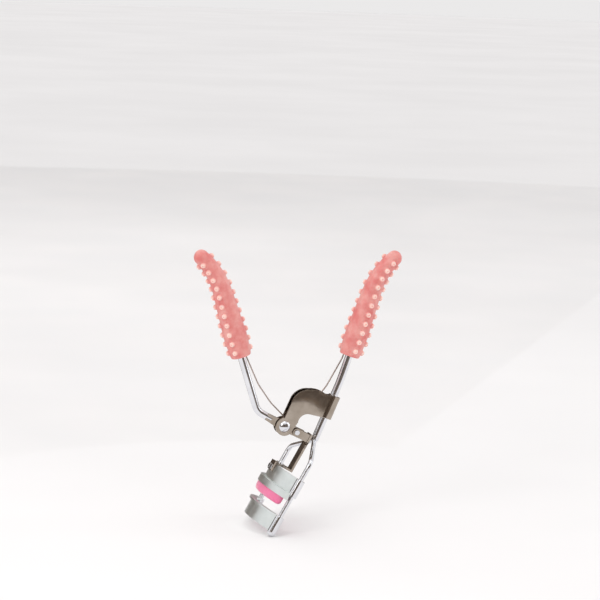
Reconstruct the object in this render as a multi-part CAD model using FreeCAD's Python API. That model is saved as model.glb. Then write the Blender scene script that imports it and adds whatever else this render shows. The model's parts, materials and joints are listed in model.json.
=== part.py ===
import FreeCAD, Part
import math
import os

# Eyelash curler, millimetres. It is designed with the pivot rivet's axis through (0, 0, 0): X runs from
# the moving handle to the fixed one, Y is the rivet's axis and the width of the jaws, and Z is up, from the
# jaws to the handles. At the end every piece is moved so that the whole model is centred on the origin.

V = FreeCAD.Vector
ALONG_Y = V(0, 1, 0)

# Handles: round rods in silicone grips. Each leans outwards from its grip's open end, runs straight, and
# then curves further out. Stations along a grip are measured from its open end.
ROD_R = 1.4
HANDLE_LEAN = math.radians(18)
HANDLE_CURVE = math.radians(36)
STRAIGHT_LENGTH = 25.5
GRIP_LENGTH = 43.4
HANDLE_CURVE_R = (GRIP_LENGTH - STRAIGHT_LENGTH) / HANDLE_CURVE
ROD_TOP_STATION = 38.5
FIXED_OPEN_END = V(24.3, 0, 26.3)
FIXED_SIDE = 1
FIXED_ROD_BEND_STATION = -10.0
LEVER_OPEN_END = V(-16.9, 0, 26.3)
LEVER_SIDE = -1
LEVER_KNEE_STATION = -21.7
LEVER_ROD_END = V(-4.8, 0, 2.7)
LONG_BEND_R = 60.0
KNEE_R = 5.0

# Head: everything on it follows one slide direction, tilted from the vertical.
SLIDE_TILT = math.radians(28.5)
DOWN = V(-math.sin(SLIDE_TILT), 0, -math.cos(SLIDE_TILT))
BULGE = V(-math.cos(SLIDE_TILT), 0, math.sin(SLIDE_TILT))
HEAD_ORIGIN = V(6.9, 0, -11.0)
YOKE_TOP_S = -7.3
YOKE_TOP_N = -2.0
ARM_R = 0.9
ARM_HALF = 16.0
ARM_END_S = 29.0
YOKE_BEND_R = 3.5
END_CAP_R = 1.7

# Jaws: arcs through both arms, bulging away from the fixed handle.
JAW_SAGITTA = 6.7
JAW_R = (ARM_HALF ** 2 + JAW_SAGITTA ** 2) / (2 * JAW_SAGITTA)
WALL = 0.8
EYE_OUT_R = 1.7
SLIDE_GAP = 0.1
MOVING_TOP_S = 7.3
CHANNEL_TOP_S = 13.4
CHANNEL_HALF = 2.0
CHANNEL_LIP = 0.45
CHANNEL_DEPTH = 1.8
PAD_END_S = 19.4
PAD_END_Y = 13.8
PAD_ROUND = 1.0
FIXED_TOP_S = 22.6
FIXED_LIP_HALF = 1.4

# Bracket: one plate folded round the fixed rod, with two cheeks that hold the rivet.
SHEET = 0.8
CHEEK_IN = ROD_R
CHEEK_OUT = CHEEK_IN + SHEET
BOSS_R = 3.4
SLEEVE_R = 2.6
SLEEVE_HIGH_Z = 11.3
SLEEVE_LOW_Z = 3.1

# Pivot: rivet, spacer bush, washer.
RIVET_R = 1.0
RIVET_HEAD_R = 2.1
RIVET_HEAD_H = 1.0
BUSH_R = 1.5
WASHER_R = 2.7
WASHER_T = 0.4
RIVET_TAIL_R = 1.8
RIVET_TAIL_H = 0.5

# Lever plate: turns on the bush, and its fork drives the link pin.
LEVER_Y = (-1.3, -0.1)
RUNNING_GAP = 0.05
LEVER_BOSS_R = 3.0
FORK_HALF = 1.75
FORK_SLOT_HALF = 0.85
FORK_LENGTH = 7.7
TAB_HALF = 1.9
TAB_TIP_HALF = 1.33
TAB_LENGTH = 2.2
PIN_R = 0.55
PIN_HEAD_R = 0.935
PIN_HEAD_H = 0.4
PIN_TAIL_H = 0.35
PIN_S = -6.7
PIN_N = 6.0

# Push stem: a strip with two ears for the link pin and a foot on the moving jaw.
STEM_N = (0.2, 1.0)
STEM_HALF = 2.6
STEM_TOP_S = -8.6
EAR_R = 1.55
EAR_FRONT_Y = (-2.25, -1.45)
EAR_BACK_Y = (0.05, 0.85)
FOOT_TAB = 3.0
STEM_RIVET_R = 0.55
STEM_RIVET_HEAD_R = 0.95
STEM_RIVET_HEAD_H = 0.4
STEM_RIVET_TAIL = 0.5
STEM_RIVET_Y = 1.3
STEM_RIVET_S = 8.95

# Spring: a wire coil on the bush, with a leg into each grip.
SPRING_R = 0.27
COIL_R = 1.9
COIL_Y = (0.36, 0.70, 1.04)
FIXED_LEG = [V(-1.15, 0, 1.5), V(7.6, 0, 7.0), V(15.4, 0, 13.6), V(21.8, 0, 25.4), V(23.8, 0, 31.4)]
LEVER_LEG = [V(1.5, 0, 2.2), V(-4.9, 0, 8.6), V(-9.9, 0, 15.6), V(-15.0, 0, 26.6), V(-16.6, 0, 31.7)]
LEG_BEND_R = 14.0

# Grips: silicone sleeves with rows of round nubs, and one smooth band in place of a sixth row.
GRIP_END_R = 3.8
GRIP_WIDE_R = 4.35
GRIP_WIDE_AT = 9.0
GRIP_TIP_R = 2.7
GRIP_SECTIONS = (0, 1.5, 4.5, 9, 16, 24, 30, 36)
NUB_R = 1.0
NUB_LIFT = 0.2
NUB_ROOT = 1.0
NUB_ROWS = 5
ROW_TURN = 60
NUBS_PER_ROW = 11
NUB_FIRST = 2.5
NUB_PITCH = 3.6
FIXED_FIRST_ROW = -83
LEVER_FIRST_ROW = -125


def head(s, n, y=0.0):
    """A point on the head: s along the slide direction, n towards the bulge of the jaws, y across."""
    return HEAD_ORIGIN + DOWN * s + BULGE * n + V(0, y, 0)


def unit(v):
    return V(v).normalize()


def bent_path(points, bend_rs):
    """Straight runs through the points, with a tangent arc of the given radius at each inner point."""
    edges = []
    start = points[0]
    for i in range(1, len(points) - 1):
        back = unit(points[i - 1] - points[i])
        ahead = unit(points[i + 1] - points[i])
        half = back.getAngle(ahead) / 2
        reach = bend_rs[i - 1] / math.tan(half)
        to_centre = unit(back + ahead)
        centre = points[i] + to_centre * (bend_rs[i - 1] / math.sin(half))
        entry = points[i] + back * reach
        leave = points[i] + ahead * reach
        middle = centre - to_centre * bend_rs[i - 1]
        edges.append(Part.LineSegment(start, entry).toShape())
        edges.append(Part.Arc(entry, middle, leave).toShape())
        start = leave
    edges.append(Part.LineSegment(start, points[-1]).toShape())
    return Part.Wire(edges)


def bent_rod(points, bend_rs, radius):
    """A round rod or wire along a bent path."""
    along = unit(points[1] - points[0])
    section = Part.Wire([Part.makeCircle(radius, points[0], along)])
    return bent_path(points, bend_rs).makePipeShell([section], True, False)


def lean_vector(side, angle):
    """A unit vector in the handles' plane, leaning from the vertical towards one side."""
    return V(side * math.sin(angle), 0, math.cos(angle))


def handle_lean(station):
    curved = max(0.0, station - STRAIGHT_LENGTH)
    return HANDLE_LEAN + curved / HANDLE_CURVE_R


def handle_point(open_end, side, station):
    """The point of a handle's axis at a station; it is negative below the grip."""
    straight = open_end + lean_vector(side, HANDLE_LEAN) * min(station, STRAIGHT_LENGTH)
    lean = handle_lean(station)
    sideways = math.cos(HANDLE_LEAN) - math.cos(lean)
    upwards = math.sin(lean) - math.sin(HANDLE_LEAN)
    return straight + V(side * sideways, 0, upwards) * HANDLE_CURVE_R


def handle_rod_top(open_end, side):
    """The rod's top and the corner of its curve, from which the rod runs on down."""
    top_lean = handle_lean(ROD_TOP_STATION)
    arc_end = handle_point(open_end, side, ROD_TOP_STATION)
    reach = HANDLE_CURVE_R * math.tan((top_lean - HANDLE_LEAN) / 2)
    corner = handle_point(open_end, side, STRAIGHT_LENGTH) + lean_vector(side, HANDLE_LEAN) * reach
    return [arc_end + lean_vector(side, top_lean), corner]


def level(points, y):
    return [V(p.x, y, p.z) for p in points]


def plate(outline_edges, y0, y1):
    """A flat plate in the handles' plane, between two values of y."""
    face = Part.Face(Part.Wire(outline_edges))
    face.translate(V(0, y0, 0))
    return face.extrude(V(0, y1 - y0, 0))


def y_disc(centre, radius, y0, y1):
    return Part.makeCylinder(radius, y1 - y0, V(centre.x, y0, centre.z), ALONG_Y)


def line(a, b):
    return Part.LineSegment(a, b).toShape()


def head_frame(shape):
    """Moves a shape from a local frame (x = bulge, y = across, z = slide direction) onto the head."""
    matrix = FreeCAD.Matrix(
        BULGE.x, 0, DOWN.x, HEAD_ORIGIN.x,
        BULGE.y, 1, DOWN.y, HEAD_ORIGIN.y,
        BULGE.z, 0, DOWN.z, HEAD_ORIGIN.z,
        0, 0, 0, 1,
    )
    placed = shape.copy()
    placed.transformShape(matrix)
    return placed


def arc_band(r_in, r_out, s0, s1, end_y):
    """Part of a ring about the jaws' centre line, cut off square at y = -end_y and end_y."""
    centre_n = JAW_SAGITTA - JAW_R
    half_angle = math.degrees(math.asin(end_y / JAW_R))
    ring = Part.makeCylinder(r_out, s1 - s0, V(0, 0, 0), V(0, 0, 1), 2 * half_angle)
    core = Part.makeCylinder(r_in, s1 - s0, V(0, 0, 0), V(0, 0, 1))
    band = ring.cut(core)
    band.rotate(V(0, 0, 0), V(0, 0, 1), -half_angle)
    band.translate(V(centre_n, 0, s0))
    return head_frame(band)


def head_post(radius, s0, s1, y, n=0.0):
    """A cylinder along the slide direction."""
    return head_frame(Part.makeCylinder(radius, s1 - s0, V(n, y, s0), V(0, 0, 1)))


def head_block(n_range, y_range, s_range):
    block = Part.makeBox(n_range[1] - n_range[0], y_range[1] - y_range[0], s_range[1] - s_range[0])
    block.translate(V(n_range[0], y_range[0], s_range[0]))
    return head_frame(block)


def both_arms(radius, s0, s1):
    return head_post(radius, s0, s1, -ARM_HALF).fuse(head_post(radius, s0, s1, ARM_HALF))


def make_yoke():
    """The wire loop that spreads from the fixed rod into two parallel arms."""
    points = [
        head(ARM_END_S, 0, -ARM_HALF),
        head(0, 0, -ARM_HALF),
        head(YOKE_TOP_S, YOKE_TOP_N),
        head(0, 0, ARM_HALF),
        head(ARM_END_S, 0, ARM_HALF),
    ]
    return bent_rod(points, [YOKE_BEND_R] * 3, ARM_R)


def fixed_rod_bend():
    return handle_point(FIXED_OPEN_END, FIXED_SIDE, FIXED_ROD_BEND_STATION)


def make_fixed_rod(yoke):
    """The fixed handle's rod, saddled and welded onto the top of the yoke."""
    end = head(YOKE_TOP_S, YOKE_TOP_N)
    points = handle_rod_top(FIXED_OPEN_END, FIXED_SIDE) + [fixed_rod_bend(), end]
    rod = bent_rod(points, [HANDLE_CURVE_R, LONG_BEND_R], ROD_R)
    return max(rod.cut(yoke).Solids, key=lambda solid: solid.Volume)


def rod_line_point(z):
    """The point of the fixed rod's lower straight run at height z."""
    end = head(YOKE_TOP_S, YOKE_TOP_N)
    share = (z - end.z) / (fixed_rod_bend().z - end.z)
    return end + (fixed_rod_bend() - end) * share


def cheek_outline():
    """The hooked outline of the bracket's cheeks, from the boss up and across to the rod."""
    top_rod = rod_line_point(SLEEVE_HIGH_Z)
    low_rod = rod_line_point(SLEEVE_LOW_Z)
    neck_left = V(-0.2, 0, 3.0)
    shoulder = V(3.1, 0, 10.7)
    crown = V(9.6, 0, 13.8)
    slope_end = V(16.2, 0, 11.6)
    arch_top = V(9.1, 0, 4.7)
    arch_foot = V(5.0, 0, 1.5)
    neck_right = V(2.9, 0, -1.6)
    return [
        line(neck_left, shoulder),
        Part.Arc(shoulder, V(5.7, 0, 13.1), crown).toShape(),
        Part.Arc(crown, V(13.2, 0, 13.3), slope_end).toShape(),
        line(slope_end, top_rod),
        line(top_rod, low_rod),
        line(low_rod, arch_top),
        Part.Arc(arch_top, V(6.6, 0, 4.1), arch_foot).toShape(),
        line(arch_foot, neck_right),
        line(neck_right, neck_left),
    ]


def make_bracket():
    """Two cheeks joined by a sleeve rolled round the fixed rod, which stands a little proud of them."""
    bracket = None
    for y0, y1 in ((-CHEEK_OUT, -CHEEK_IN), (CHEEK_IN, CHEEK_OUT)):
        cheek = plate(cheek_outline(), y0, y1).fuse(y_disc(V(0, 0, 0), BOSS_R, y0, y1))
        cheek = cheek.cut(y_disc(V(0, 0, 0), RIVET_R, y0, y1))
        bracket = cheek if bracket is None else bracket.fuse(cheek)
    top = rod_line_point(SLEEVE_HIGH_Z)
    low = rod_line_point(SLEEVE_LOW_Z)
    along = low - top
    sleeve = Part.makeCylinder(SLEEVE_R, along.Length, top, along)
    sleeve = sleeve.cut(Part.makeCylinder(CHEEK_IN, along.Length, top, along))
    outward = unit(ALONG_Y.cross(along))
    if outward.x > 0:
        outward = outward * -1
    meets_cheek = math.sqrt(SLEEVE_R ** 2 - CHEEK_OUT ** 2)
    mouth = Part.makeBox(2 * SLEEVE_R, 2 * SLEEVE_R, 2 * along.Length)
    mouth.translate(V(meets_cheek, -SLEEVE_R, -along.Length / 2))
    x_axis = outward
    z_axis = unit(along)
    y_axis = z_axis.cross(x_axis)
    mouth.transformShape(FreeCAD.Matrix(
        x_axis.x, y_axis.x, z_axis.x, top.x,
        x_axis.y, y_axis.y, z_axis.y, top.y,
        x_axis.z, y_axis.z, z_axis.z, top.z,
        0, 0, 0, 1,
    ))
    return bracket.fuse(sleeve.cut(mouth)).removeSplitter()


def make_rivet():
    """Domed head in front, shank through both cheeks, flat tail over the washer."""
    shank = y_disc(V(0, 0, 0), RIVET_R, -CHEEK_OUT, CHEEK_OUT + WASHER_T)
    dome_r = (RIVET_HEAD_R ** 2 + RIVET_HEAD_H ** 2) / (2 * RIVET_HEAD_H)
    dome = Part.makeSphere(dome_r, V(0, dome_r - RIVET_HEAD_H - CHEEK_OUT, 0))
    dome = dome.common(y_disc(V(0, 0, 0), RIVET_HEAD_R, -CHEEK_OUT - RIVET_HEAD_H, -CHEEK_OUT))
    tail_y = CHEEK_OUT + WASHER_T
    tail = y_disc(V(0, 0, 0), RIVET_TAIL_R, tail_y, tail_y + RIVET_TAIL_H)
    return shank.fuse(dome).fuse(tail).removeSplitter()


def y_ring(r_out, r_in, y0, y1):
    return y_disc(V(0, 0, 0), r_out, y0, y1).cut(y_disc(V(0, 0, 0), r_in, y0, y1))


def lever_knee():
    return handle_point(LEVER_OPEN_END, LEVER_SIDE, LEVER_KNEE_STATION)


def make_lever_plate():
    """A stamped plate: boss on the bush, a tab to the lever rod and a fork round the link pin."""
    y0, y1 = LEVER_Y
    to_pin = unit(head(PIN_S, PIN_N))
    side = V(-to_pin.z, 0, to_pin.x)
    tip = to_pin * FORK_LENGTH
    fork = [side * FORK_HALF, tip + side * FORK_HALF, tip - side * FORK_HALF, side * -FORK_HALF]
    slot_start = to_pin * head(PIN_S, PIN_N).Length
    slot_end = tip + to_pin
    slot = [slot_start + side * FORK_SLOT_HALF, slot_end + side * FORK_SLOT_HALF,
            slot_end - side * FORK_SLOT_HALF, slot_start - side * FORK_SLOT_HALF]
    along = unit(lever_knee() - LEVER_ROD_END)
    across = V(-along.z, 0, along.x)
    tab_end = LEVER_ROD_END + along * TAB_LENGTH
    tab = [across * TAB_HALF, tab_end + across * TAB_TIP_HALF,
           tab_end - across * TAB_TIP_HALF, across * -TAB_HALF]
    shape = y_disc(V(0, 0, 0), LEVER_BOSS_R, y0, y1)
    shape = shape.fuse(plate(Part.makePolygon(fork + fork[:1]).Edges, y0, y1))
    shape = shape.fuse(plate(Part.makePolygon(tab + tab[:1]).Edges, y0, y1))
    shape = shape.cut(plate(Part.makePolygon(slot + slot[:1]).Edges, y0, y1))
    shape = shape.cut(y_disc(slot_start, FORK_SLOT_HALF, y0, y1))
    return shape.cut(y_disc(V(0, 0, 0), BUSH_R + RUNNING_GAP, y0, y1)).removeSplitter()


def make_lever_rod(lever_plate):
    """The moving handle's rod, slotted at its end onto the lever plate's tab."""
    points = handle_rod_top(LEVER_OPEN_END, LEVER_SIDE) + [lever_knee(), LEVER_ROD_END]
    rod = bent_rod(points, [HANDLE_CURVE_R, KNEE_R], ROD_R)
    return max(rod.cut(lever_plate).Solids, key=lambda solid: solid.Volume)


def make_stem(jaw_wall):
    """Strip, two pin ears at its top, and a foot that hooks over the moving jaw's wall."""
    stem = head_block(STEM_N, (-STEM_HALF, STEM_HALF), (STEM_TOP_S, MOVING_TOP_S))
    foot_n = JAW_SAGITTA + WALL / 2 + SHEET
    width = (-STEM_HALF, STEM_HALF)
    foot = head_block((STEM_N[0], foot_n), width, (MOVING_TOP_S - SHEET, MOVING_TOP_S))
    hook = head_block((JAW_SAGITTA, foot_n), width, (MOVING_TOP_S - SHEET, MOVING_TOP_S + FOOT_TAB))
    stem = stem.fuse(foot).fuse(hook)
    pin = head(PIN_S, PIN_N)
    for y0, y1 in (EAR_FRONT_Y, EAR_BACK_Y):
        arm = head_block((STEM_N[0], PIN_N), (y0, y1), (PIN_S - EAR_R, PIN_S + EAR_R))
        ear = arm.fuse(y_disc(pin, EAR_R, y0, y1)).cut(y_disc(pin, PIN_R, y0, y1))
        stem = stem.fuse(ear)
    inside = arc_band(JAW_R - WALL / 2 - 2, JAW_R, MOVING_TOP_S, MOVING_TOP_S + FOOT_TAB, ARM_HALF - 3)
    return stem.cut(jaw_wall).cut(inside).cut(make_stem_rivets()).removeSplitter()


def make_link_pin():
    """A headed pin through both ears of the stem."""
    pin = head(PIN_S, PIN_N)
    shank = y_disc(pin, PIN_R, EAR_FRONT_Y[0], EAR_BACK_Y[1])
    front = y_disc(pin, PIN_HEAD_R, EAR_FRONT_Y[0] - PIN_HEAD_H, EAR_FRONT_Y[0])
    back = y_disc(pin, PIN_HEAD_R, EAR_BACK_Y[1], EAR_BACK_Y[1] + PIN_TAIL_H)
    return shank.fuse(front).fuse(back).removeSplitter()


def make_stem_rivets():
    """Two small rivets through the stem's hook and the moving jaw's wall."""
    rivets = None
    outer_n = JAW_SAGITTA + WALL / 2 + SHEET
    inwards = V(-1, 0, 0)
    for y in (-STEM_RIVET_Y, STEM_RIVET_Y):
        face = V(outer_n, y, STEM_RIVET_S)
        shank = Part.makeCylinder(STEM_RIVET_R, WALL + SHEET + STEM_RIVET_TAIL, face, inwards)
        top = V(outer_n + STEM_RIVET_HEAD_H, y, STEM_RIVET_S)
        outer = Part.makeCylinder(STEM_RIVET_HEAD_R, STEM_RIVET_HEAD_H, top, inwards)
        rivet = head_frame(shank.fuse(outer))
        rivets = rivet if rivets is None else rivets.fuse(rivet)
    return rivets


def make_moving_wall():
    """The curved wall of the moving jaw, between its two eyes."""
    wall = arc_band(JAW_R - WALL / 2, JAW_R + WALL / 2, MOVING_TOP_S, CHANNEL_TOP_S, ARM_HALF)
    return wall.cut(both_arms(EYE_OUT_R, MOVING_TOP_S, CHANNEL_TOP_S))


def make_channel():
    """The U channel under the wall, open towards the fixed jaw."""
    floor_s = CHANNEL_TOP_S + SHEET
    end_s = floor_s + CHANNEL_DEPTH
    body = arc_band(JAW_R - CHANNEL_HALF, JAW_R + CHANNEL_HALF, CHANNEL_TOP_S, end_s, ARM_HALF)
    groove_half = CHANNEL_HALF - CHANNEL_LIP
    groove = arc_band(JAW_R - groove_half, JAW_R + groove_half, floor_s, end_s, ARM_HALF)
    return body.cut(groove).cut(both_arms(EYE_OUT_R, CHANNEL_TOP_S - 1, end_s + 1))


def make_pad():
    """The soft pad in the channel, with a rounded working edge."""
    half = CHANNEL_HALF - CHANNEL_LIP
    pad = arc_band(JAW_R - half, JAW_R + half, CHANNEL_TOP_S + SHEET, PAD_END_S, PAD_END_Y)
    rounded = [edge for edge in pad.Edges if edge.Length > 20 and
               all((vertex.Point - HEAD_ORIGIN).dot(DOWN) > PAD_END_S - 0.1 for vertex in edge.Vertexes)]
    return pad.makeFillet(PAD_ROUND, rounded)


def make_slide_eye(y):
    """A tube at the end of the moving jaw that runs along one arm."""
    return head_post(EYE_OUT_R, MOVING_TOP_S, CHANNEL_TOP_S + SHEET, y).cut(
        head_post(ARM_R + SLIDE_GAP, MOVING_TOP_S, CHANNEL_TOP_S + SHEET, y))


def make_fixed_jaw():
    """The fixed jaw's wall, with a flat pressing lip along its upper edge."""
    wall = arc_band(JAW_R - WALL / 2, JAW_R + WALL / 2, FIXED_TOP_S, ARM_END_S, ARM_HALF)
    lip = arc_band(JAW_R - FIXED_LIP_HALF, JAW_R + FIXED_LIP_HALF, FIXED_TOP_S, FIXED_TOP_S + SHEET, ARM_HALF)
    return wall.fuse(lip).cut(both_arms(EYE_OUT_R, FIXED_TOP_S - 1, ARM_END_S + 1)).removeSplitter()


def make_ferrule(y):
    """A tube that holds the fixed jaw on one arm."""
    return head_post(EYE_OUT_R, FIXED_TOP_S, ARM_END_S, y).cut(head_post(ARM_R, FIXED_TOP_S, ARM_END_S, y))


def make_end_cap(y):
    """The half-round cap that closes one arm."""
    return head_frame(Part.makeSphere(END_CAP_R, V(0, y, ARM_END_S), V(0, 0, 1), 0, 90, 360))


def make_fixed_leg():
    """The spring's coil and the leg that runs into the fixed handle's grip."""
    spring = bent_rod(level(FIXED_LEG, COIL_Y[0]), [LEG_BEND_R] * 3, SPRING_R)
    for y in COIL_Y:
        spring = spring.fuse(Part.makeTorus(COIL_R, SPRING_R, V(0, y, 0), ALONG_Y))
    return spring


def make_lever_leg():
    """The leg that runs from the coil into the lever's grip."""
    return bent_rod(level(LEVER_LEG, COIL_Y[2]), [LEG_BEND_R] * 3, SPRING_R)


def grip_radius(z):
    """The sleeve's outer radius at a height above its open end."""
    if z < GRIP_WIDE_AT:
        share = z / GRIP_WIDE_AT
        return GRIP_END_R + (GRIP_WIDE_R - GRIP_END_R) * math.sin(share * math.pi / 2)
    share = (z - GRIP_WIDE_AT) / (GRIP_LENGTH - GRIP_WIDE_AT)
    return GRIP_WIDE_R + (GRIP_TIP_R - GRIP_WIDE_R) * share


def make_nub(station, turn):
    """A short round post with a domed end, standing out of a sleeve whose axis is +Z."""
    outward = V(math.cos(turn), math.sin(turn), 0)
    height = NUB_ROOT + NUB_LIFT
    root = outward * (grip_radius(station) - NUB_ROOT)
    post = Part.makeCylinder(NUB_R, height, root, outward)
    dome = Part.makeSphere(NUB_R, root + outward * height, outward, 0, 90, 360)
    return post.fuse(dome)


def on_handle(shape, open_end, side, station):
    """Moves a shape that is centred on the origin, with its axis +Z, to a station of a handle."""
    placed = shape.copy()
    placed.rotate(V(0, 0, 0), ALONG_Y, math.degrees(side * handle_lean(station)))
    placed.translate(handle_point(open_end, side, station))
    return placed


def make_grip(open_end, side, first_row, rod, leg):
    """A tapered, curved sleeve with rows of nubs, closed over the rod's end."""
    tip_station = GRIP_LENGTH - GRIP_TIP_R
    sections = []
    for station in GRIP_SECTIONS + (tip_station,):
        ring = Part.Wire([Part.makeCircle(grip_radius(station), V(0, 0, 0), V(0, 0, 1))])
        sections.append(on_handle(ring, open_end, side, station))
    tip = Part.makeSphere(grip_radius(tip_station), V(0, 0, 0), V(0, 0, 1), -90, 90, 360)
    grip = Part.makeLoft(sections, True).fuse(on_handle(tip, open_end, side, tip_station))
    nubs = []
    for row in range(NUB_ROWS):
        turn = math.radians(first_row - side * (row * ROW_TURN - (NUB_ROWS - 1) * ROW_TURN))
        for i in range(NUBS_PER_ROW):
            station = NUB_FIRST + i * NUB_PITCH
            nubs.append(on_handle(make_nub(station, turn), open_end, side, station))
    return grip.multiFuse(nubs).cut(rod).cut(leg)


os.makedirs("parts", exist_ok=True)
yoke = make_yoke()
fixed_rod = make_fixed_rod(yoke)
lever_plate = make_lever_plate()
lever_rod = make_lever_rod(lever_plate)
moving_wall = make_moving_wall()
fixed_leg = make_fixed_leg()
lever_leg = make_lever_leg()

pieces = {
    "frame_yoke": yoke,
    "fixed_handle_rod": fixed_rod,
    "bracket": make_bracket(),
    "pivot_rivet": make_rivet(),
    "pivot_bush": y_ring(BUSH_R, RIVET_R, -CHEEK_IN, CHEEK_IN),
    "rivet_washer": y_ring(WASHER_R, RIVET_R, CHEEK_OUT, CHEEK_OUT + WASHER_T),
    "lever_plate": lever_plate,
    "lever_handle_rod": lever_rod,
    "push_stem": make_stem(moving_wall),
    "link_pin": make_link_pin(),
    "stem_rivets": make_stem_rivets(),
    "moving_jaw": moving_wall.cut(make_stem_rivets()),
    "pad_channel": make_channel(),
    "silicone_pad": make_pad(),
    "slide_eye_front": make_slide_eye(-ARM_HALF),
    "slide_eye_rear": make_slide_eye(ARM_HALF),
    "fixed_jaw": make_fixed_jaw(),
    "jaw_ferrule_front": make_ferrule(-ARM_HALF),
    "jaw_ferrule_rear": make_ferrule(ARM_HALF),
    "arm_cap_front": make_end_cap(-ARM_HALF),
    "arm_cap_rear": make_end_cap(ARM_HALF),
    "spring_coil_and_leg": fixed_leg,
    "spring_lever_leg": lever_leg,
    "fixed_grip": make_grip(FIXED_OPEN_END, FIXED_SIDE, FIXED_FIRST_ROW, fixed_rod, fixed_leg),
    "lever_grip": make_grip(LEVER_OPEN_END, LEVER_SIDE, LEVER_FIRST_ROW, lever_rod, lever_leg),
}

whole = Part.makeCompound(list(pieces.values())).optimalBoundingBox(False, False)
for name, shape in pieces.items():
    shape.translate(whole.Center * -1)
    shape.exportStep("parts/" + name + ".step")
    state = "valid" if shape.isValid() else "INVALID"
    print(name, state, "solids", len(shape.Solids), round(shape.Volume, 1))
print("centre of the box, measured from the rivet's axis", whole.Center)
print("size", round(whole.XLength, 2), round(whole.YLength, 2), round(whole.ZLength, 2))
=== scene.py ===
"""An eyelash curler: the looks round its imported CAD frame.

The metal parts are CAD nodes with new materials. The two handle grips and the pad are soft, so each is a
new mesh that stands for its CAD node. Everything is in metres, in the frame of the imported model.
"""

import json
import math

import bmesh
import bpy
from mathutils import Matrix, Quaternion, Vector
from mathutils.kdtree import KDTree


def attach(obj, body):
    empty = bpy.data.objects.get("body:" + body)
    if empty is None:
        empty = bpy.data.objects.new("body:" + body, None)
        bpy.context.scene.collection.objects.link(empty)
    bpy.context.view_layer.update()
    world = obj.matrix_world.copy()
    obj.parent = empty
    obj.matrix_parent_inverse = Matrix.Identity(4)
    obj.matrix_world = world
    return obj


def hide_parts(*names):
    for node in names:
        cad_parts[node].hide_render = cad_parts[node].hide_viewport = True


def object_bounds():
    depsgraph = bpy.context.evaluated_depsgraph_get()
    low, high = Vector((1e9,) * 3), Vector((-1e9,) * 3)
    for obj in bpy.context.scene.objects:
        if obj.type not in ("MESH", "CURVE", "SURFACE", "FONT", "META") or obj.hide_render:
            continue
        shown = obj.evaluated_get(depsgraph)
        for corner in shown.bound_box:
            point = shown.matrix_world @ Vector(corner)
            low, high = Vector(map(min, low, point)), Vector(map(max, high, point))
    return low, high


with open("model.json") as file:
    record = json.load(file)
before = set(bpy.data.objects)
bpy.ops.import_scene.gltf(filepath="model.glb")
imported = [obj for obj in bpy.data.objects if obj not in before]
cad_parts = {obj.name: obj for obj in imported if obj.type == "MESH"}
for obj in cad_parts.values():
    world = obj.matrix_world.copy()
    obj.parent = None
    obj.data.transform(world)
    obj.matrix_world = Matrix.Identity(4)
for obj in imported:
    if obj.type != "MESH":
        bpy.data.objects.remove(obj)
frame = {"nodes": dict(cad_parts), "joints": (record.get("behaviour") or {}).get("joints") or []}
cad_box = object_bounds()

MM = 0.001
ACROSS = Vector((0, 1, 0))

# The rivet's axis. The sizes below are measured from it, in millimetres, as in the CAD source.
RIVET = Vector(frame["joints"][0]["pos_m"])

# Handles: each axis leans outwards, runs straight and then curves further out. A station is a distance
# along the axis from the grip's open end.
LEAN = math.radians(18)
CURVE = math.radians(36)
STRAIGHT = 25.5
GRIP_LENGTH = 43.4
CURVE_R = (GRIP_LENGTH - STRAIGHT) / CURVE
FIXED_OPEN_END = Vector((24.3, 0, 26.3))
LEVER_OPEN_END = Vector((-16.9, 0, 26.3))

# Grips: a sleeve that swells a little and then tapers, with rows of nubs and one smooth band.
END_R = 3.8
WIDE_R = 4.35
WIDE_AT = 9.0
TIP_R = 2.7
LIP_R = 0.55
BORE_R = 1.5
BORE_END = 39.0
MOUTH_ROUND = 0.3
MOUTH_STEPS = 4
LIP_STEPS = 6
TIP_REACH = 0.97
TIP_STEPS = 14
SLEEVE_SIDES = 72
SLEEVE_STEP = 0.5
NUB_R = 1.0
NUB_HEIGHT = 1.17
NUB_FILLET = 0.28
FILLET_STEPS = 4
DOME_STEPS = 12
NUB_SINK = 0.1
NUB_ROOT = 0.8
DIMPLE_R = 0.55
DIMPLE_DEPTH = 0.16
# How much painted shade darkens a nub's dimple against the painted glow of its top.
DIMPLE_SHADE = 0.75
NUB_SIDES = 24
NUB_ROWS = 5
ROW_TURN = 60
NUBS_PER_ROW = 11
NUB_FIRST = 2.5
NUB_PITCH = 3.6
FIXED_FIRST_ROW = -83
LEVER_FIRST_ROW = -125
GRIP_VOXEL = 0.13
SOFTEN_SHARE = 0.5
SOFTEN_ROUNDS = 2

# Head: s runs down along the slide, n towards the bulge of the jaws.
SLIDE_TILT = math.radians(28.5)
DOWN = Vector((-math.sin(SLIDE_TILT), 0, -math.cos(SLIDE_TILT)))
BULGE = Vector((-math.cos(SLIDE_TILT), 0, math.sin(SLIDE_TILT)))
HEAD_ORIGIN = Vector((6.9, 0, -11.0))
JAW_SAGITTA = 6.7
JAW_HALF_WIDTH = 16.0
JAW_R = (JAW_HALF_WIDTH ** 2 + JAW_SAGITTA ** 2) / (2 * JAW_SAGITTA)
PAD_BACK_S = 14.22
PAD_EDGE_S = 19.38
PAD_HALF_THICKNESS = 1.53
PAD_HALF_WIDTH = 13.8
PAD_END_ROUND = 1.6
PAD_END_SIZE = 0.02
PAD_END_HEIGHT = 0.35
PAD_SQUARENESS = 0.62
PAD_STEPS = 96
PAD_SIDES = 40

# Finishes: the radius of softened edges in metres.
SOFT_EDGE = 0.00012
EDGE_SAMPLES = 6
SILICONE_ROUGH_SPREAD = 0.14

# Finishes: noise cells to a metre.
METAL_CLOUD = 160
METAL_HAZE = 420
METAL_GRAIN = 1800
SILICONE_CLOUD = 240
SILICONE_HAZE = 700
SILICONE_GRAIN = 1500
FLOOR_CLOUD = 3
FLAG_PATCH = 16

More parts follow.
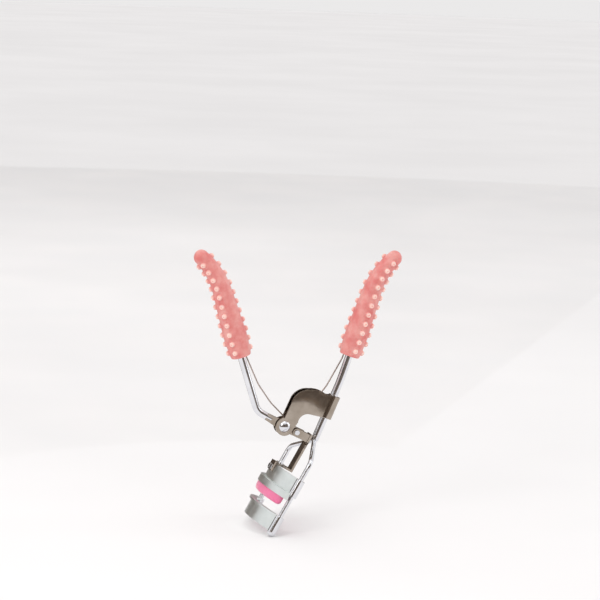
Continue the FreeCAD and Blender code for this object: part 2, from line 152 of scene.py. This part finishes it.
# Picture: AIM is measured from the rivet and, like the sensor, is in millimetres; the other lengths are in
# metres. A flag's two numbers are its first and last azimuth in degrees.
CAMERA_AZIMUTH = math.radians(-14)
CAMERA_ELEVATION = math.radians(8)
CAMERA_ROLL = math.radians(2)
CAMERA_DISTANCE = 0.9
SENSOR = 36
FIELD = 0.222
AIM = Vector((4.7, 0, 47.3))
FLOOR_R = 9.0
FLOOR_SIDES = 64
FRONT_FLAG = (-70, 60)
FRONT_FLAG_NEAR_R = 0.265
BACK_FLAG = (150, 235)
BACK_FLAG_NEAR_R = 0.16
FLAG_LIFT = 0.001
FLAG_R = 1.5
FLAG_TOP = 1.1
FLAG_STEPS = 24
AIR_STRENGTH = 0.97
HORIZON_TONE = (0.855, 0.845, 0.845)
ZENITH_TONE = (0.96, 0.95, 0.95)
HORIZON_HEIGHT = 0.5


# ---------------------------------------------------------------- places

def place(point):
    """A point measured from the rivet in millimetres, as a point of the frame in metres."""
    return RIVET + point * MM


def lean_at(station):
    return LEAN + max(0.0, station - STRAIGHT) / CURVE_R


def handle_axes(open_end, side, station):
    """The axis point at a station, with the directions along the handle and in its plane."""
    lean = lean_at(station)
    start = open_end + Vector((side * math.sin(LEAN), 0, math.cos(LEAN))) * min(station, STRAIGHT)
    reach = (math.cos(LEAN) - math.cos(lean)) * CURVE_R
    rise = (math.sin(lean) - math.sin(LEAN)) * CURVE_R
    along = Vector((side * math.sin(lean), 0, math.cos(lean)))
    level = Vector((math.cos(lean), 0, -side * math.sin(lean)))
    return start + Vector((side * reach, 0, rise)), along, level


def head(s, n, y):
    return HEAD_ORIGIN + DOWN * s + BULGE * n + Vector((0, y, 0))


def grip_radius(station):
    """The sleeve's outer radius."""
    if station < WIDE_AT:
        return END_R + (WIDE_R - END_R) * math.sin(station / WIDE_AT * math.pi / 2)
    return WIDE_R + (TIP_R - WIDE_R) * (station - WIDE_AT) / (GRIP_LENGTH - WIDE_AT)


# ---------------------------------------------------------------- materials

def new_material(name):
    material = bpy.data.materials.new(name)
    material.use_nodes = True
    return material, material.node_tree.nodes["Principled BSDF"]


def node(material, kind, values=None, **settings):
    made = material.node_tree.nodes.new(kind)
    for key, value in settings.items():
        setattr(made, key, value)
    for key, value in (values or {}).items():
        made.inputs[key].default_value = value
    return made


def join(material, source, target):
    material.node_tree.links.new(source, target)


def noise(material, scale, detail, stretch=(1, 1, 1)):
    """Noise in the object's own metres; stretch makes it longer along the axes with small numbers."""
    coordinates = node(material, "ShaderNodeTexCoord")
    mapping = node(material, "ShaderNodeMapping", {"Scale": stretch})
    texture = node(material, "ShaderNodeTexNoise", {"Scale": scale, "Detail": detail, "Roughness": 0.6})
    join(material, coordinates.outputs["Object"], mapping.inputs["Vector"])
    join(material, mapping.outputs["Vector"], texture.inputs["Vector"])
    return texture.outputs["Fac"]


def spread(material, source, low, high, centre=0.5, width=0.3):
    """Turns noise round its middle value into numbers from low to high."""
    mapped = node(material, "ShaderNodeMapRange", {
        "From Min": centre - width / 2,
        "From Max": centre + width / 2,
        "To Min": low,
        "To Max": high,
    })
    join(material, source, mapped.inputs["Value"])
    return mapped.outputs["Result"]


def two_tone(material, factor, first, second):
    """A mix of two colours; the mix node has an A and a B for each kind of value, so the kind is asked."""
    mix = node(material, "ShaderNodeMix", data_type="RGBA")
    ends = {"A": first, "B": second}
    for socket in mix.inputs:
        if socket.type == "RGBA" and socket.name in ends:
            socket.default_value = (*ends[socket.name], 1)
    join(material, factor, mix.inputs["Factor"])
    return next(socket for socket in mix.outputs if socket.type == "RGBA")


def bumped_normal(material, shader, height, depth):
    """Bump of a depth in metres."""
    bump = node(material, "ShaderNodeBump", {"Strength": 1.0, "Distance": depth})
    join(material, height, bump.inputs["Height"])
    join(material, bump.outputs["Normal"], shader.inputs["Normal"])


def waves(material, scale, depth, rounded):
    """Slow unevenness of a pressed or drawn surface, which bends what it mirrors."""
    bump = node(material, "ShaderNodeBump", {"Strength": 1.0, "Distance": depth})
    join(material, noise(material, scale, 0), bump.inputs["Height"])
    if rounded:
        join(material, rounded, bump.inputs["Normal"])
    return bump.outputs["Normal"]


def metal(name, tones, polish, grain, grain_depth, wave=None, edge=SOFT_EDGE):
    """A faint cloud in its tone, uneven polish, fine grain, slow waves if given and softened edges."""
    material, shader = new_material(name)
    shader.inputs["Metallic"].default_value = 1.0
    cloud = spread(material, noise(material, METAL_CLOUD, 4), 0, 1)
    join(material, two_tone(material, cloud, *tones), shader.inputs["Base Color"])
    haze = spread(material, noise(material, METAL_HAZE, 6), *polish)
    join(material, haze, shader.inputs["Roughness"])
    under = None
    if edge:
        bevel = node(material, "ShaderNodeBevel", {"Radius": edge}, samples=EDGE_SAMPLES)
        under = bevel.outputs["Normal"]
    if wave:
        under = waves(material, *wave, under)
    bump = node(material, "ShaderNodeBump", {"Strength": 1.0, "Distance": grain_depth})
    join(material, noise(material, METAL_GRAIN, 3, grain), bump.inputs["Height"])
    if under:
        join(material, under, bump.inputs["Normal"])
    join(material, bump.outputs["Normal"], shader.inputs["Normal"])
    return material


def bright_chrome():
    tones = (0.70, 0.71, 0.74), (0.80, 0.81, 0.84)
    return metal("bright_chrome_plate", tones, (0.04, 0.09), (1, 1, 1), 2e-7, wave=(140, 1.5e-5))


def smoked_chrome():
    # The bracket is chrome like the rods and mirrors dark surroundings. Its dark brown tones are a painted
    # dark reflection.
    tones = (0.34, 0.29, 0.24), (0.44, 0.385, 0.33)
    return metal("chrome_with_painted_dark_reflection", tones, (0.05, 0.10), (1, 1, 1), 2e-7, wave=(60, 6e-4))


def satin_jaw():
    tones = (0.72, 0.765, 0.755), (0.80, 0.84, 0.83)
    return metal("satin_jaw_plate", tones, (0.30, 0.42), (0.3, 1, 0.3), 3e-6)


def bush_brass():
    tones = (0.62, 0.42, 0.17), (0.76, 0.56, 0.27)
    return metal("bush_brass_turned", tones, (0.18, 0.34), (1, 5, 1), 6e-6)


def spring_steel():
    tones = (0.42, 0.35, 0.32), (0.58, 0.50, 0.46)
    return metal("spring_steel_wire", tones, (0.16, 0.34), (1, 1, 1), 4e-6, edge=None)


def silicone(name, deep, pale, tone, rough, depth):
    """Soft translucent rubber: tone names the mesh attribute of painted glow and painted shade that adds
    to the pale colour, or is None.
    """
    material, shader = new_material(name)
    cloud = spread(material, noise(material, SILICONE_CLOUD, 5), 0.0, 0.35)
    # The attribute adds painted light to the random cloud: a painted glow on the nub tops and painted
    # shade in their dimples.
    if tone:
        attribute = node(material, "ShaderNodeAttribute", attribute_name=tone)
        total = node(material, "ShaderNodeMath", operation="ADD", use_clamp=True)
        join(material, attribute.outputs["Fac"], total.inputs[0])
        join(material, cloud, total.inputs[1])
        cloud = total.outputs["Value"]
    join(material, two_tone(material, cloud, deep, pale), shader.inputs["Base Color"])
    haze = spread(material, noise(material, SILICONE_HAZE, 4), rough, rough + SILICONE_ROUGH_SPREAD)
    join(material, haze, shader.inputs["Roughness"])
    shader.inputs["Subsurface Weight"].default_value = 0.25
    shader.inputs["Subsurface Radius"].default_value = (1.0, 0.45, 0.35)
    shader.inputs["Subsurface Scale"].default_value = 0.0012
    shader.inputs["Sheen Weight"].default_value = 0.45
    shader.inputs["Sheen Roughness"].default_value = 0.35
    shader.inputs["Sheen Tint"].default_value = (1.0, 0.86, 0.80, 1.0)
    bumped_normal(material, shader, noise(material, SILICONE_GRAIN, 4), depth)
    return material


def grip_silicone():
    deep, pale = (0.70, 0.185, 0.175), (0.96, 0.66, 0.58)
    # The grips' attribute paints a glow of light on each nub's top and shade in its dimple.
    return silicone("grip_silicone_soft", deep, pale, "nub_glow_and_dimple_shade", 0.36, 2.4e-5)


def pad_silicone():
    deep, pale = (0.80, 0.16, 0.33), (0.95, 0.36, 0.54)
    return silicone("pad_silicone_soft", deep, pale, None, 0.34, 1.5e-5)


def floor_paint():
    material, shader = new_material("floor_pale")
    tone = spread(material, noise(material, FLOOR_CLOUD, 3), 0, 1)
    pale = two_tone(material, tone, (0.86, 0.85, 0.85), (0.90, 0.89, 0.89))
    join(material, pale, shader.inputs["Base Color"])
    shader.inputs["Roughness"].default_value = 0.75
    return material


# ---------------------------------------------------------------- meshes

def object_from(name, mesh, material, body):
    mesh.materials.clear()
    mesh.materials.append(material)
    for polygon in mesh.polygons:
        polygon.use_smooth = True
    made = bpy.data.objects.new(name, mesh)
    bpy.context.scene.collection.objects.link(made)
    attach(made, body)
    return made


def skin(mesh, rings):
    """Faces between rings of equal length, in order."""
    for first, second in zip(rings, rings[1:]):
        count = len(first)
        for i in range(count):
            j = (i + 1) % count
            mesh.faces.new((first[i], first[j], second[j], second[i]))


def fan(mesh, ring, centre, outward_first):
    """Triangles from a ring to its centre."""
    count = len(ring)
    for i in range(count):
        j = (i + 1) % count
        mesh.faces.new((ring[i], ring[j], centre) if outward_first else (ring[j], ring[i], centre))


def sleeve_profile():
    """Station and radius of each ring: down the bore, round the lip of the open end and up to the tip."""
    points = [(BORE_END, BORE_R)]
    station = BORE_END - 1
    while station > LIP_R:
        points.append((station, BORE_R))
        station -= 1
    for i in range(MOUTH_STEPS + 1):
        turn = i / MOUTH_STEPS * math.pi / 2
        points.append((MOUTH_ROUND * (1 - math.sin(turn)), BORE_R + MOUTH_ROUND * (1 - math.cos(turn))))
    for i in range(LIP_STEPS + 1):
        turn = i / LIP_STEPS * math.pi / 2
        points.append((LIP_R * (1 - math.cos(turn)), END_R - LIP_R + LIP_R * math.sin(turn)))
    tip_centre = GRIP_LENGTH - TIP_R
    station = LIP_R + SLEEVE_STEP
    while station < tip_centre:
        points.append((station, grip_radius(station)))
        station += SLEEVE_STEP
    end_r = grip_radius(tip_centre)
    for i in range(TIP_STEPS):
        turn = i / TIP_STEPS * math.pi / 2
        points.append((tip_centre + TIP_REACH * end_r * math.sin(turn), end_r * math.cos(turn)))
    return points


def add_sleeve(mesh, open_end, side):
    """The plain sleeve as a closed shell, with a bore for the rod."""
    rings = []
    for station, radius in sleeve_profile():
        centre, _, level = handle_axes(open_end, side, station)
        ring = []
        for i in range(SLEEVE_SIDES):
            turn = i / SLEEVE_SIDES * 2 * math.pi
            outward = level * math.cos(turn) + ACROSS * math.sin(turn)
            ring.append(mesh.verts.new(place(centre + outward * radius)))
        rings.append(ring)
    skin(mesh, rings)
    bore_end = handle_axes(open_end, side, BORE_END)[0]
    fan(mesh, rings[0], mesh.verts.new(place(bore_end)), False)
    tip_station = GRIP_LENGTH - TIP_R
    tip = handle_axes(open_end, side, tip_station + grip_radius(tip_station) * TIP_REACH)[0]
    fan(mesh, rings[-1], mesh.verts.new(place(tip)), True)


def dimple_share(radius):
    """How much of the dimple's depth a nub has at a distance from its middle."""
    inside = max(0.0, 1 - radius / DIMPLE_R)
    return inside * inside * (3 - 2 * inside)


def nub_profile():
    """Radius and height of each ring: a root in the sleeve, a curved foot and a dome with a dimple."""
    points = [(NUB_R, -NUB_ROOT)]
    base = NUB_FILLET - NUB_SINK
    for i in range(FILLET_STEPS + 1):
        turn = i / FILLET_STEPS * math.pi / 2
        radius = NUB_R + NUB_FILLET * (1 - math.sin(turn))
        points.append((radius, NUB_FILLET * (1 - math.cos(turn)) - NUB_SINK))
    for i in range(1, DOME_STEPS):
        turn = i / DOME_STEPS * math.pi / 2
        radius = NUB_R * math.cos(turn)
        height = base + (NUB_HEIGHT - base) * math.sin(turn)
        points.append((radius, height - DIMPLE_DEPTH * dimple_share(radius)))
    return points


def nub_places(open_end, side, first_row):
    """Root and outward direction of every nub, with the direction along the handle there."""
    places = []
    for row in range(NUB_ROWS):
        turn = math.radians(first_row - side * (row - NUB_ROWS + 1) * ROW_TURN)
        for i in range(NUBS_PER_ROW):
            station = NUB_FIRST + i * NUB_PITCH
            centre, along, level = handle_axes(open_end, side, station)
            outward = level * math.cos(turn) + ACROSS * math.sin(turn)
            places.append((centre + outward * grip_radius(station), outward, along))
    return places


def add_nub(mesh, root, outward, along):
    """One nub as a closed shell, with its root inside the sleeve."""
    sideways = along.cross(outward)
    rings = []
    for radius, height in nub_profile():
        ring = []
        for i in range(NUB_SIDES):
            around = i / NUB_SIDES * 2 * math.pi
            spoke = along * math.cos(around) + sideways * math.sin(around)
            ring.append(mesh.verts.new(place(root + outward * height + spoke * radius)))
        rings.append(ring)
    skin(mesh, rings)
    fan(mesh, rings[0], mesh.verts.new(place(root - outward * NUB_ROOT)), False)
    fan(mesh, rings[-1], mesh.verts.new(place(root + outward * (NUB_HEIGHT - DIMPLE_DEPTH))), True)


def moulded(name, shell):
    """One closed skin round overlapping closed shells, as if they were moulded together."""
    rough = bpy.data.meshes.new(name + "_shells")
    shell.to_mesh(rough)
    shell.free()
    holder = bpy.data.objects.new(name + "_shells", rough)
    bpy.context.scene.collection.objects.link(holder)
    remesh = holder.modifiers.new("one_skin", "REMESH")
    remesh.mode = "VOXEL"
    remesh.voxel_size = GRIP_VOXEL * MM
    soften = holder.modifiers.new("softened", "SMOOTH")
    soften.factor = SOFTEN_SHARE
    soften.iterations = SOFTEN_ROUNDS
    shown = holder.evaluated_get(bpy.context.evaluated_depsgraph_get())
    skin_mesh = bpy.data.meshes.new_from_object(shown)
    bpy.data.objects.remove(holder)
    bpy.data.meshes.remove(rough)
    skin_mesh.name = name
    return skin_mesh


def paint_nub_glow_and_shade(mesh, places):
    """Stores painted light at each vertex: a painted glow of light through the thin nubs, palest round a
    nub's top, and painted shade in its dimple.
    """
    tree = KDTree(len(places))
    for i, (root, outward, _) in enumerate(places):
        tree.insert(place(root + outward * NUB_R / 2), i)
    tree.balance()
    tones = []
    for vertex in mesh.vertices:
        root, outward, _ = places[tree.find(vertex.co)[1]]
        rel = (vertex.co - place(root)) / MM
        height = rel.dot(outward)
        radius = (rel - outward * height).length
        # The painted glow grows towards the nub's top, and the painted shade takes some of it back in the
        # dimple.
        rise = min(1.0, max(0.0, height / NUB_HEIGHT)) if radius < 2 * NUB_R else 0.0
        tones.append(rise * (1 - DIMPLE_SHADE * dimple_share(radius)))
    layer = mesh.attributes.new("nub_glow_and_dimple_shade", "FLOAT", "POINT")
    layer.data.foreach_set("value", tones)


def make_grip(name, node_name, open_end, side, first_row, body, material):
    """One handle's soft sleeve with its nubs, in the place of its CAD node."""
    shell = bmesh.new()
    places = nub_places(open_end, side, first_row)
    add_sleeve(shell, open_end, side)
    for root, outward, along in places:
        add_nub(shell, root, outward, along)
    bmesh.ops.recalc_face_normals(shell, faces=shell.faces)
    mesh = moulded(name, shell)
    paint_nub_glow_and_shade(mesh, places)
    grip = object_from(name, mesh, material, body)
    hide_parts(node_name)


def pad_ring(mesh, y_share, size):
    """One rounded section of the pad; size shrinks it at the pad's ends."""
    half_angle = math.asin(PAD_HALF_WIDTH / JAW_R)
    turn = y_share * half_angle
    centre_s = (PAD_BACK_S + PAD_EDGE_S) / 2
    half_s = (PAD_EDGE_S - PAD_BACK_S) / 2
    ring = []
    end_height = PAD_END_HEIGHT + (1 - PAD_END_HEIGHT) * size
    for i in range(PAD_SIDES):
        around = i / PAD_SIDES * 2 * math.pi
        c, s = math.cos(around), math.sin(around)
        thick = math.copysign(abs(c) ** PAD_SQUARENESS, c) * PAD_HALF_THICKNESS * size
        high = math.copysign(abs(s) ** PAD_SQUARENESS, s) * half_s * end_height
        radius = JAW_R + thick
        n = JAW_SAGITTA - JAW_R + radius * math.cos(turn)
        y = radius * math.sin(turn)
        ring.append(mesh.verts.new(place(head(centre_s + high, n, y))))
    return ring


def make_pad(material):
    """The soft strip in the moving jaw, rounded along its working edge and at both ends."""
    shell = bmesh.new()
    rings = []
    for i in range(PAD_STEPS + 1):
        share = -math.cos(i / PAD_STEPS * math.pi)
        from_end = (1 - abs(share)) * PAD_HALF_WIDTH / PAD_END_ROUND
        size = math.sqrt(max(0.0, 1 - (1 - min(1.0, from_end)) ** 2))
        rings.append(pad_ring(shell, share, max(size, PAD_END_SIZE)))
    skin(shell, rings)
    shell.faces.new(rings[0])
    shell.faces.new(rings[-1])
    bmesh.ops.recalc_face_normals(shell, faces=shell.faces)
    mesh = bpy.data.meshes.new("silicone_pad_strip")
    shell.to_mesh(mesh)
    shell.free()
    pad = object_from("silicone_pad_strip", mesh, material, "jaw_slide")
    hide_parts("silicone_pad")


def finish_metal():
    """Gives each metal CAD node the material of its slot."""
    made = {
        "bright_chrome": bright_chrome(),
        # This slot's material is chrome with a painted dark reflection in its dark brown tones.
        "smoked_chrome": smoked_chrome(),
        "satin_jaw": satin_jaw(),
        "bush_brass": bush_brass(),
        "spring_steel": spring_steel(),
    }
    for cad_node in frame["nodes"].values():
        for slot in cad_node.material_slots:
            if slot.material.name in made:
                slot.material = made[slot.material.name]


# ---------------------------------------------------------------- studio

def stage_mesh(name, corners, faces, material):
    mesh = bpy.data.meshes.new(name)
    mesh.from_pydata(corners, [], faces)
    mesh.materials.append(material)
    made = bpy.data.objects.new(name, mesh)
    bpy.context.scene.collection.objects.link(made)
    return made


def make_floor():
    """A wide round floor under the lowest point of the part."""
    rim = []
    for i in range(FLOOR_SIDES):
        turn = i / FLOOR_SIDES * 2 * math.pi
        rim.append((FLOOR_R * math.cos(turn), FLOOR_R * math.sin(turn), cad_box[0].z))
    stage_mesh("studio_floor", rim, [tuple(range(FLOOR_SIDES))], floor_paint())


def flag_cloth(name):
    """Brown and black cloth; its patches give the polished plates their brown and black depths."""
    material, shader = new_material(name + "_cloth")
    patch = spread(material, noise(material, FLAG_PATCH, 2), 0, 1)
    cloth = two_tone(material, patch, (0.008, 0.006, 0.006), (0.34, 0.27, 0.22))
    join(material, cloth, shader.inputs["Base Color"])
    shader.inputs["Roughness"].default_value = 0.9
    return material


def arc_points(radius, height, first, last):
    points = []
    for i in range(FLAG_STEPS + 1):
        azimuth = math.radians(first + (last - first) * i / FLAG_STEPS)
        points.append((math.sin(azimuth) * radius, -math.cos(azimuth) * radius, height))
    return points


def make_flag(name, first, last, near_r):
    """A dark card, flat on the floor and then upright, that shows only in polished metal."""
    low = cad_box[0].z + FLAG_LIFT
    rows = [
        arc_points(near_r, low, first, last),
        arc_points(FLAG_R, low, first, last),
        arc_points(FLAG_R, FLAG_TOP, first, last),
    ]
    corners = [corner for row in rows for corner in row]
    faces = []
    for row in range(len(rows) - 1):
        for i in range(FLAG_STEPS):
            near = row * (FLAG_STEPS + 1) + i
            far = near + FLAG_STEPS + 1
            faces.append((near, near + 1, far + 1, far))
    flag = stage_mesh(name, corners, faces, flag_cloth(name))
    flag.visible_camera = False
    flag.visible_diffuse = False
    flag.visible_shadow = False
    flag.visible_transmission = False


def make_light(name, azimuth, elevation, distance, size, power, colour):
    """A soft box: angles in degrees, distance and size in metres, power in watts."""
    data = bpy.data.lights.new(name, "AREA")
    data.shape = "RECTANGLE"
    data.size, data.size_y = size
    data.energy = power
    data.color = colour
    lamp = bpy.data.objects.new(name, data)
    a, e = math.radians(azimuth), math.radians(elevation)
    back = Vector((math.sin(a) * math.cos(e), -math.cos(a) * math.cos(e), math.sin(e)))
    lamp.location = back * distance
    lamp.rotation_euler = back.to_track_quat("Z", "Y").to_euler()
    lamp.visible_camera = False
    bpy.context.scene.collection.objects.link(lamp)


def make_lights():
    make_light("key_softbox", -48, 34, 0.9, (0.25, 0.6), 1.5, (1.0, 0.985, 0.97))
    make_light("fill_softbox", 84, 20, 1.0, (0.2, 0.7), 0.8, (0.97, 0.98, 1.0))
    make_light("top_softbox", 10, 82, 0.9, (0.5, 0.5), 0.7, (1.0, 1.0, 1.0))
    make_light("rim_softbox", 190, 30, 1.1, (0.6, 0.3), 0.8, (1.0, 0.99, 0.98))


def make_world():
    """Pale air that is a little dimmer near the horizon, where it meets the floor's far side."""
    world = bpy.data.worlds.new("studio_air")
    bpy.context.scene.world = world
    world.use_nodes = True
    air = world.node_tree.nodes["Background"]
    air.inputs["Strength"].default_value = AIR_STRENGTH
    direction = node(world, "ShaderNodeTexCoord")
    parts = node(world, "ShaderNodeSeparateXYZ")
    join(world, direction.outputs["Generated"], parts.inputs["Vector"])
    height = node(world, "ShaderNodeMapRange", {"From Min": 0.0, "From Max": HORIZON_HEIGHT})
    join(world, parts.outputs["Z"], height.inputs["Value"])
    colour = two_tone(world, height.outputs["Result"], HORIZON_TONE, ZENITH_TONE)
    join(world, colour, air.inputs["Color"])


def make_camera():
    """In front of the nearer arm, a little above, and turned a little about its own axis."""
    back = Vector((
        math.sin(CAMERA_AZIMUTH) * math.cos(CAMERA_ELEVATION),
        -math.cos(CAMERA_AZIMUTH) * math.cos(CAMERA_ELEVATION),
        math.sin(CAMERA_ELEVATION),
    ))
    data = bpy.data.cameras.new("studio_camera")
    data.sensor_width = SENSOR
    data.lens = SENSOR * CAMERA_DISTANCE / FIELD
    data.clip_start = 0.01
    data.clip_end = 50
    camera = bpy.data.objects.new("studio_camera", data)
    camera.location = place(AIM) + back * CAMERA_DISTANCE
    level = back.to_track_quat("Z", "Y")
    camera.rotation_euler = (level @ Quaternion((0, 0, 1), CAMERA_ROLL)).to_euler()
    bpy.context.scene.collection.objects.link(camera)
    bpy.context.scene.camera = camera


finish_metal()
grip_material = grip_silicone()
make_grip("fixed_grip_sleeve", "fixed_grip", FIXED_OPEN_END, 1, FIXED_FIRST_ROW, "frame", grip_material)
make_grip("lever_grip_sleeve", "lever_grip", LEVER_OPEN_END, -1, LEVER_FIRST_ROW, "lever", grip_material)
make_pad(pad_silicone())
make_floor()
make_flag("front_flag", *FRONT_FLAG, FRONT_FLAG_NEAR_R)
make_flag("back_flag", *BACK_FLAG, BACK_FLAG_NEAR_R)
make_lights()
make_world()
make_camera()
bpy.context.scene.view_settings.view_transform = "Standard"
